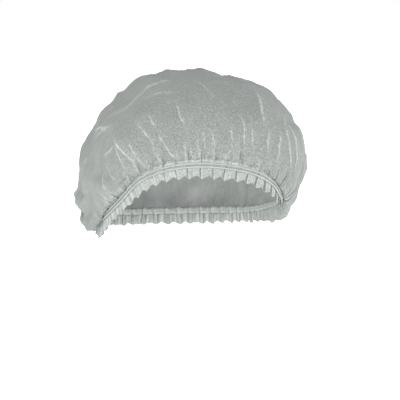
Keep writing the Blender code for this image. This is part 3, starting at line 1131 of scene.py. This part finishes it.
def light_studio(scene):
    """White surroundings that light the cap more weakly than they show, and two soft lamps."""
    world = bpy.data.worlds.new("Studio")
    world.use_nodes = True
    backdrop = world.node_tree.nodes["Background"]
    backdrop.inputs["Color"].default_value = (1, 1, 1, 1)
    seen = world.node_tree.nodes.new("ShaderNodeLightPath")
    strength = world.node_tree.nodes.new("ShaderNodeMapRange")
    strength.inputs["To Min"].default_value = SKY_LIGHT
    strength.inputs["To Max"].default_value = 1.0
    world.node_tree.links.new(seen.outputs["Is Camera Ray"], strength.inputs["Value"])
    world.node_tree.links.new(strength.outputs[0], backdrop.inputs["Strength"])
    scene.world = world
    scene.view_settings.view_transform = "Standard"
    scene.view_settings.look = "None"

    for lamp in LAMPS:
        light = bpy.data.lights.new(lamp.name, "AREA")
        light.shape = "DISK"
        light.size = lamp.size
        light.energy = lamp.power
        holder = bpy.data.objects.new(lamp.name, light)
        holder.location = lamp.place
        aim = Vector(LAMP_AIM) - Vector(lamp.place)
        holder.rotation_euler = aim.to_track_quat("-Z", "Y").to_euler()
        scene.collection.objects.link(holder)


def aim_camera(scene):
    """A long lens at the picture's viewing angle, with the origin at its pixel of the picture."""
    turn, tilt = math.radians(CAMERA_AZIMUTH), math.radians(CAMERA_ELEVATION)
    back = Vector(
        (math.sin(turn) * math.cos(tilt), -math.cos(turn) * math.cos(tilt), math.sin(tilt))
    )
    right = Vector((math.cos(turn), math.sin(turn), 0.0))
    up = back.cross(right)
    across, down = (PICTURE / 2 - pixel for pixel in ORIGIN_PIXEL)
    aim = right * (across / PICTURE_SCALE) * MM - up * (down / PICTURE_SCALE) * MM
    lens = bpy.data.cameras.new("camera")
    lens.sensor_width = SENSOR
    lens.lens = SENSOR * CAMERA_DISTANCE / (PICTURE / PICTURE_SCALE * MM)
    lens.clip_start = 0.05
    camera = bpy.data.objects.new("camera", lens)
    axes = Matrix((right, up, back)).transposed().to_4x4()
    camera.matrix_world = Matrix.Translation(aim + back * CAMERA_DISTANCE) @ axes
    scene.collection.objects.link(camera)
    scene.camera = camera


# Operators


class CAP_OT_crown(bpy.types.Operator):
    """Makes the crown's sheet, gathered at the band and creased, in place of its solid"""

    bl_idname = "cap.crown"
    bl_label = "Crown"

    def execute(self, context):
        settings = context.scene.cap_settings
        piece = rolled_sheet("crown_sheet", *crown_points(settings), True)
        piece.data.materials.append(
            nonwoven("Nonwoven crown", settings.sheet_colour, settings.coverage)
        )
        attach(piece, "root")
        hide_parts("crown")
        return {"FINISHED"}


class CAP_OT_frill(bpy.types.Operator):
    """Makes the knife-pleated margin below the elastic, in place of its solid"""

    bl_idname = "cap.frill"
    bl_label = "Frill"

    def execute(self, context):
        settings = context.scene.cap_settings
        piece = rolled_sheet("frill_pleats", *frill_points(settings), False)
        piece.data.materials.append(
            nonwoven("Nonwoven margin", settings.sheet_colour, settings.coverage)
        )
        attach(piece, "root")
        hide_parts("frill")
        return {"FINISHED"}


class CAP_OT_elastic(bpy.types.Operator):
    """Makes the two elastic strands in place of their plain solids"""

    bl_idname = "cap.elastic"
    bl_label = "Elastic strands"

    def execute(self, context):
        settings = context.scene.cap_settings
        finish = covered_elastic("Covered elastic", settings.elastic_colour, 0.5)
        angle = ring(PLEATS * STRAND_STEPS)
        for node, side in (("elastic_upper", -1), ("elastic_lower", 1)):
            wave = STRAND_WAVE * np.sin(np.radians(angle) * PLEATS + side)
            below = side * STRAND_SPACING / 2 + wave
            path = rim_point(angle, below, 0.55 * STRAND_RADIUS + 0.5 * wave)
            piece = thread(node + "_strand", path, STRAND_RADIUS)
            piece.data.materials.append(finish)
            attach(piece, "root")
            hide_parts(node)
        return {"FINISHED"}


class CAP_OT_stitching(bpy.types.Operator):
    """Makes the zigzag thread that holds the strands to the sheet"""

    bl_idname = "cap.stitching"
    bl_label = "Stitching"

    def execute(self, context):
        settings = context.scene.cap_settings
        below, outward = (np.tile(column, PLEATS * STITCHES) for column in zip(*STITCH))
        path = rim_point(ring(len(below)), below, outward)
        piece = thread("stitching", path, THREAD_RADIUS, 1)
        piece.data.materials.append(covered_elastic("Thread", settings.elastic_colour, 0.2))
        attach(piece, "root")
        return {"FINISHED"}


class CAP_OT_stage(bpy.types.Operator):
    """Makes the floor, the soft studio light and the camera"""

    bl_idname = "cap.stage"
    bl_label = "Stage"

    def execute(self, context):
        scene = context.scene
        lay_floor(scene, CAD_BOX[0][2] - scene.cap_settings.floor_drop)
        light_studio(scene)
        aim_camera(scene)
        return {"FINISHED"}


class CAP_PT_panel(bpy.types.Panel):
    """Lists the cap's sizes and its steps"""

    bl_idname = "CAP_PT_panel"
    bl_label = "Hair cover cap"
    bl_space_type = "VIEW_3D"
    bl_region_type = "UI"
    bl_category = "Cap"

    def draw(self, context):
        for name in CapSettings.__annotations__:
            self.layout.prop(context.scene.cap_settings, name)
        for step in STEPS:
            self.layout.operator(step.bl_idname)


STEPS = (CAP_OT_crown, CAP_OT_frill, CAP_OT_elastic, CAP_OT_stitching, CAP_OT_stage)
CLASSES = (CapSettings, *STEPS, CAP_PT_panel)


def register():
    for item in CLASSES:
        bpy.utils.register_class(item)
    bpy.types.Scene.cap_settings = bpy.props.PointerProperty(type=CapSettings)


def unregister():
    del bpy.types.Scene.cap_settings
    for item in reversed(CLASSES):
        bpy.utils.unregister_class(item)


def main():
    register()
    bpy.ops.cap.crown()
    bpy.ops.cap.frill()
    bpy.ops.cap.elastic()
    bpy.ops.cap.stitching()
    bpy.ops.cap.stage()


if __name__ == "__main__":
    main()
